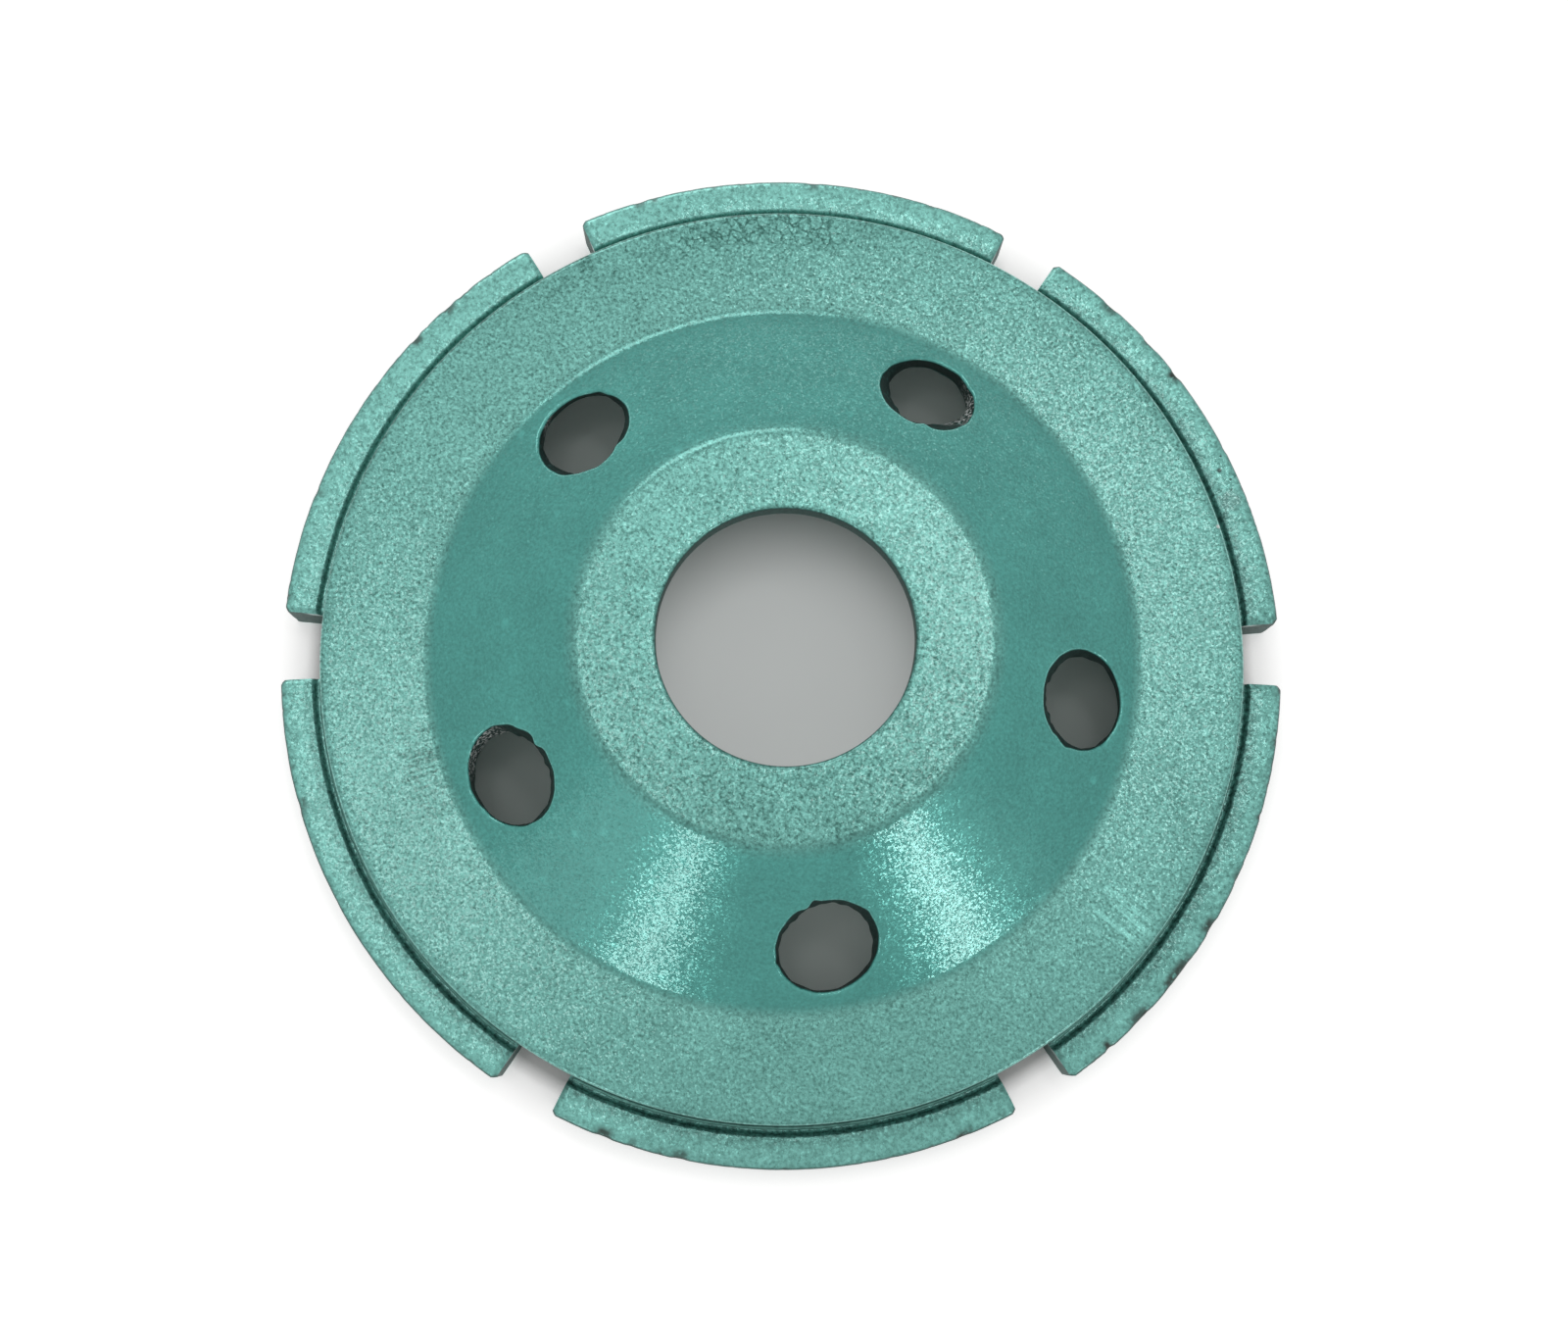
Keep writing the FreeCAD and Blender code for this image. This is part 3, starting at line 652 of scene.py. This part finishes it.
# The outer top edge broke unevenly, and is bare where it did.
edge_start = add(st, "ShaderNodeMath", {0: given["Outside Radius"], 1: 0.8 * MM},
                 operation="SUBTRACT")
at_edge = add(st, "ShaderNodeMapRange", {
    "Value": radius, "From Min": edge_start, "From Max": given["Outside Radius"]},
    interpolation_type="SMOOTHSTEP")
top_start = add(st, "ShaderNodeMath", {0: given["Height"], 1: 1.6 * MM}, operation="SUBTRACT")
at_top = add(st, "ShaderNodeMapRange", {
    "Value": xyz.outputs[2], "From Min": top_start, "From Max": given["Height"]},
    interpolation_type="SMOOTHSTEP")
broken = add(st, "ShaderNodeTexNoise", {
    "Vector": spot, "W": given["Seed"], "Scale": 1 / (1.9 * MM), "Detail": 3.0,
    "Roughness": 0.65}, noise_dimensions="4D")
broken = add(st, "ShaderNodeMapRange", {
    "Value": broken, "From Min": 0.52, "From Max": 0.70}, interpolation_type="SMOOTHSTEP")
broken = add(st, "ShaderNodeMath", {0: broken, 1: at_edge}, operation="MULTIPLY")
broken = add(st, "ShaderNodeMath", {0: broken, 1: at_top}, operation="MULTIPLY")
bite = add(st, "ShaderNodeMath", {0: broken, 1: given["Edge Wear"]}, operation="MULTIPLY")
inward = add(st, "ShaderNodeVectorMath", {0: level}, operation="NORMALIZE")
inward = add(st, "ShaderNodeVectorMath", {0: inward, 1: (-1, -1, 0), 2: (0, 0, -0.6)},
             operation="MULTIPLY_ADD")
inward = add(st, "ShaderNodeVectorMath", {0: inward, "Scale": bite}, operation="SCALE")
block = add(st, "GeometryNodeStoreNamedAttribute", {
    "Geometry": block, "Name": "bare", "Value": broken}, data_type="FLOAT", domain="POINT")
block = add(st, "GeometryNodeSetPosition", {"Geometry": block, "Offset": inward})
block = add(st, "GeometryNodeRealizeInstances", {"Geometry": block})
block = add(st, "GeometryNodeSetMaterial", {"Geometry": block, "Material": given["Paint"]})
add(st, "NodeGroupOutput", {0: block})

WIDEST = 44.99           # nothing stands out further than this along X or Y
MARK_INSIDE = 43.6       # a mark reaches in to this radius
MARK_REACH = 1.4         # and has its full depth at the outer edge

segment_paint = green_paint(
    "green_metallic_paint_on_sintered_segment", 0.24, 1.12, 0.15, False)


def grown(name, tree, values):
    """The plain mesh that a node tree makes from its named inputs, as a new piece."""
    holder = bpy.data.objects.new(name, bpy.data.meshes.new(name))
    bpy.context.scene.collection.objects.link(holder)
    maker = holder.modifiers.new(name, "NODES")
    maker.node_group = tree
    sockets = {s.name: s.identifier for s in tree.interface.items_tree
               if s.in_out == "INPUT"}
    for label, value in values.items():
        maker[sockets[label]] = value
    made = bpy.data.meshes.new_from_object(
        holder.evaluated_get(bpy.context.evaluated_depsgraph_get()))
    holder.modifiers.remove(maker)
    holder.data = made
    made.name = name
    return holder


for number, (start_at, end_at) in enumerate(SEGMENT_ARCS, 1):
    segment = grown("segment_block_%d" % number, st, {
        "Start Angle": math.radians(start_at), "Sweep Angle": math.radians(end_at - start_at),
        **SEGMENT, "Seed": number, "Paint": segment_paint})
    bm = bmesh.new()
    bm.from_mesh(segment.data)
    bmesh.ops.remove_doubles(bm, verts=bm.verts, dist=1e-7)
    bmesh.ops.recalc_face_normals(bm, faces=bm.faces)
    bare = bm.verts.layers.float["bare"]
    for vert in bm.verts:
        x, y, z = (c / MM for c in vert.co)
        out, turn = math.hypot(x, y), math.degrees(math.atan2(y, x)) % 360
        for at, long, off, flash in EDGE_MARKS[number]:
            # How far round the edge the point lies from the mark, in half its length.
            away = ((turn - at + 180) % 360 - 180) * math.radians(OUTSIDE) / (long / 2)
            if abs(away) > 1.6 or out < MARK_INSIDE:
                continue
            near = math.exp(-away ** 4) * min(1.0, (out - MARK_INSIDE) / MARK_REACH) ** 2
            top = max(0.0, min(1.0, (z - 3.4) / 2.0))
            side = max(0.0, 1 - ((z - 2.6) / 2.2) ** 2)
            out += near * (flash * side - off * top)
            z -= near * 0.7 * off * top
            inside = max(0.0, min(1.0, (math.hypot(x, y) - 44.0) / 0.5))
            rubbed = math.exp(-away ** 4) * inside * top * min(1.0, 9 * off)
            vert[bare] = min(1.0, vert[bare] + rubbed + 1.5 * near * side * flash)
        # Nothing stands outside the wheel's own width, or under the grinding face.
        turn = math.radians(turn)
        out = min(out, WIDEST / max(abs(math.cos(turn)), abs(math.sin(turn))))
        vert.co = (out * math.cos(turn) * MM, out * math.sin(turn) * MM, max(z, 0.0) * MM)
    for face in bm.faces:                    # the two end faces stay flat
        face.smooth = len(face.verts) == 4
    bm.to_mesh(segment.data)
    bm.free()
    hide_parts("segment_%d" % number)
    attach(segment, "root")

# The braze ----------------------------------------------------------------------
# Silver brazing alloy that was fed into the joint between rim and lip, where it set
# as a thin uneven bead against the rim, one along each segment. It is painted over.
BEAD = {"Radius": 41.40 * MM, "Height": 5.22 * MM, "Thickness": 0.24 * MM}

bt, given = arc_tree("braze_bead", BEAD, "Bead")
path = add(bt, "GeometryNodeCurveArc", {
    "Resolution": 220, "Radius": given["Radius"], "Start Angle": given["Start Angle"],
    "Sweep Angle": given["Sweep Angle"]}, mode="RADIUS")
path = add(bt, "GeometryNodeSetCurveNormal", {"Curve": path}, mode="Z_UP")
ripple = add(bt, "ShaderNodeTexNoise", {
    "Vector": add(bt, "GeometryNodeInputPosition"), "W": given["Seed"],
    "Scale": 1 / (2.2 * MM), "Detail": 3.0}, noise_dimensions="4D")
thick = add(bt, "ShaderNodeMapRange", {
    "Value": ripple, "From Min": 0.3, "From Max": 0.7, "To Min": 0.55, "To Max": 1.15})
round_section = add(bt, "GeometryNodeCurvePrimitiveCircle", {
    "Resolution": 12, "Radius": given["Thickness"]}, mode="RADIUS")
bead = add(bt, "GeometryNodeCurveToMesh", {
    "Curve": path, "Profile Curve": round_section, "Scale": thick, "Fill Caps": True})
lift = add(bt, "ShaderNodeCombineXYZ", {2: given["Height"]})
bead = add(bt, "GeometryNodeTransform", {"Geometry": bead, "Translation": lift})
bead = add(bt, "GeometryNodeRealizeInstances", {"Geometry": bead})
bead = add(bt, "GeometryNodeSetMaterial", {"Geometry": bead, "Material": given["Paint"]})
add(bt, "NodeGroupOutput", {0: bead})

bead_paint, tree = blank_material("thin_green_paint_on_silver_braze")
place = add(tree, "ShaderNodeTexCoord").outputs["Object"]
mottle = add(tree, "ShaderNodeTexNoise", {
    "Vector": place, "Scale": 1 / (0.5 * MM), "Detail": 3.0})
tint = add(tree, "ShaderNodeMix", {
    0: mottle, 6: colour("#2C5F57"), 7: colour("#7DB9AE")}, data_type="RGBA")
bump = add(tree, "ShaderNodeBump", {"Height": mottle, "Strength": 0.6, "Distance": 0.04 * MM})
coat = add(tree, "ShaderNodeBsdfPrincipled", {
    "Base Color": tint.outputs[2], "Metallic": 0.65, "Roughness": 0.32, "Normal": bump})
add(tree, "ShaderNodeOutputMaterial", {0: coat})

bm = bmesh.new()
BEAD_SHORT = 0.6         # degrees by which a bead stops short of its segment's ends
for number, (start_at, end_at) in enumerate(SEGMENT_ARCS, 1):
    one = grown("bead", bt, {
        "Start Angle": math.radians(start_at + BEAD_SHORT),
        "Sweep Angle": math.radians(end_at - start_at - 2 * BEAD_SHORT), **BEAD,
        "Seed": number, "Paint": bead_paint})
    bm.from_mesh(one.data)
    bpy.data.objects.remove(one)
bmesh.ops.remove_doubles(bm, verts=bm.verts, dist=1e-7)
bmesh.ops.recalc_face_normals(bm, faces=bm.faces)
for face in bm.faces:
    face.smooth = len(face.verts) == 4
mesh = bpy.data.meshes.new("braze_beads")
bm.to_mesh(mesh)
bm.free()
mesh.materials.append(bead_paint)
beads = bpy.data.objects.new("braze_beads", mesh)
bpy.context.scene.collection.objects.link(beads)
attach(beads, "root")

# The table -----------------------------------------------------------------------
# A plain white surface under soft lamps. It shows as white all round the wheel and
# keeps the wheel's own shadow. Its colour is painted darker under the wheel, as painted
# shade, and a painted pool of light lifts what is seen through the bore to grey.
floor_mesh = bpy.data.meshes.new("table")
floor_mesh.from_pydata([(-3, -3, 0), (3, -3, 0), (3, 3, 0), (-3, 3, 0)], [], [(0, 1, 2, 3)])
floor = bpy.data.objects.new("table", floor_mesh)
bpy.context.scene.collection.objects.link(floor)
white, tree = blank_material("matt_white_board")
place = add(tree, "ShaderNodeTexCoord").outputs["Object"]
far = add(tree, "ShaderNodeVectorMath", {0: place}, operation="LENGTH")
# Seen from the camera, and in gloss, the board is white from just past the wheel. Through
# the bore a painted pool of light, centred a little off the axis, lifts it to a middle grey.
beyond = add(tree, "ShaderNodeMapRange", {
    "Value": far.outputs["Value"], "From Min": 42.3 * MM, "From Max": 43.8 * MM,
    "To Min": 0.0, "To Max": 0.40})
beyond_all = add(tree, "ShaderNodeMapRange", {
    "Value": far.outputs["Value"], "From Min": 43.8 * MM, "From Max": 49.0 * MM,
    "To Min": 0.0, "To Max": 0.30})
middle = add(tree, "ShaderNodeVectorMath", {0: place, 1: (0.5 * MM, -2.0 * MM, 0)},
             operation="DISTANCE")
painted_bore_light = add(tree, "ShaderNodeMapRange", {
    "Value": middle.outputs["Value"], "From Min": 9.0 * MM, "From Max": 19.0 * MM,
    "To Min": 0.26, "To Max": 0.0}, interpolation_type="SMOOTHSTEP")
glow = add(tree, "ShaderNodeMath", {0: beyond, 1: painted_bore_light}, operation="ADD")
glow = add(tree, "ShaderNodeMath", {0: glow, 1: beyond_all}, operation="ADD")
ray = add(tree, "ShaderNodeLightPath")
seen = add(tree, "ShaderNodeMath", {
    0: ray.outputs["Is Camera Ray"], 1: ray.outputs["Is Glossy Ray"]}, operation="MAXIMUM")
glow = add(tree, "ShaderNodeMath", {0: glow, 1: seen}, operation="MULTIPLY")
# Painted shade: the board's colour is darker under the wheel.
under = add(tree, "ShaderNodeMapRange", {
    "Value": far.outputs["Value"], "From Min": 30.0 * MM, "From Max": 42.0 * MM})
shade = add(tree, "ShaderNodeMix", {0: under, 6: colour("#CBD0CD"), 7: colour("#EDECEB")},
            data_type="RGBA")
board = add(tree, "ShaderNodeBsdfPrincipled", {
    "Base Color": shade.outputs[2], "Roughness": 0.9, "Emission Color": (1, 1, 1, 1),
    "Emission Strength": glow})
add(tree, "ShaderNodeOutputMaterial", {0: board})
floor.data.materials.append(white)

# The lamps -----------------------------------------------------------------------
# Two soft boxes nearly overhead, a large dim one behind, and a small bright one low on
# each side of the viewer. Those two light the streaks on the cone, and the wide dim
# window beside each of them lets its streak fade out on that side.
VIEW_TURN = 10.54        # the photograph's upright, turned from the part's +Y, degrees
LAMP_AWAY = 0.9          # metres from the wheel
for name, azimuth, elevation, size, size_y, watts in (
        ("overhead_right_box", 54.0, 75.5, 0.18, 0.09, 0.25),
        ("overhead_left_box", 156.0, 79.0, 0.15, 0.10, 0.185),
        ("back_box", 105.0, 35.0, 0.50, 0.40, 1.0),
        ("left_box", 243.0, 23.5, 0.12, 0.16, 0.35),
        ("left_window", 222.0, 23.0, 0.34, 0.20, 0.11),
        ("right_box", 308.5, 22.0, 0.12, 0.16, 0.45),
        ("right_window", 322.0, 22.0, 0.24, 0.20, 0.03)):
    lamp = bpy.data.lights.new(name, "AREA")
    lamp.shape = "RECTANGLE"
    lamp.size = size
    lamp.size_y = size_y
    lamp.energy = watts
    holder = bpy.data.objects.new(name, lamp)
    bpy.context.scene.collection.objects.link(holder)
    a, e = math.radians(azimuth + VIEW_TURN), math.radians(elevation)
    back = Vector((math.cos(e) * math.cos(a), math.cos(e) * math.sin(a), math.sin(e)))
    holder.matrix_world = (Matrix.Translation(back * LAMP_AWAY)
                           @ back.to_track_quat("Z", "Y").to_matrix().to_4x4())

# The room: darker towards the horizon than overhead, and white to the camera.
world = bpy.data.worlds.new("studio")
bpy.context.scene.world = world
world.use_nodes = True
tree = world.node_tree
tree.nodes.clear()
up = add(tree, "ShaderNodeSeparateXYZ", {
    0: add(tree, "ShaderNodeTexCoord").outputs["Generated"]})
sky = add(tree, "ShaderNodeMapRange", {
    "Value": up.outputs[2], "From Min": 0.0, "From Max": 1.0, "To Min": 0.34, "To Max": 0.64})
ray = add(tree, "ShaderNodeLightPath")
level = add(tree, "ShaderNodeMix", {
    0: ray.outputs["Is Camera Ray"], 2: sky, 3: 1.0}, data_type="FLOAT")
light = add(tree, "ShaderNodeBackground", {"Color": (1, 1, 1, 1), "Strength": level})
add(tree, "ShaderNodeOutputWorld", {0: light})

# The camera, 192 mm above the flange and 9.5 degrees off the axis.
WIDE, TALL = 1600, 1368  # the picture, in pixels
FOCAL = 2200.0           # focal length, in the same pixels
AIM = (799.7, 666.3)     # the pixel where the middle of the flange's top is seen
SENSOR = 36.0
DISTANCE = 191.9
TILT = math.radians(9.5)
SWING = math.radians(-7.04)
spin = Matrix.Rotation(math.radians(VIEW_TURN), 3, "Z")
back = spin @ Vector((math.sin(TILT) * math.sin(SWING),
                      -math.sin(TILT) * math.cos(SWING), math.cos(TILT)))
upright = spin @ Vector((0, 1, 0))
right = upright.cross(back).normalized()
rise = back.cross(right)
lens = bpy.data.cameras.new("camera")
lens.sensor_width = SENSOR
lens.lens = FOCAL / WIDE * SENSOR
lens.shift_x = (WIDE / 2 - AIM[0]) / WIDE
lens.shift_y = -(TALL / 2 - AIM[1]) / WIDE
lens.clip_start = 0.01
camera = bpy.data.objects.new("camera", lens)
bpy.context.scene.collection.objects.link(camera)
eye = Vector((0, 0, FLANGE_TOP * MM)) + back * DISTANCE * MM
camera.matrix_world = Matrix.Translation(eye) @ Matrix(
    (right, rise, back)).transposed().to_4x4()
bpy.context.scene.camera = camera
bpy.context.scene.view_settings.view_transform = "Standard"
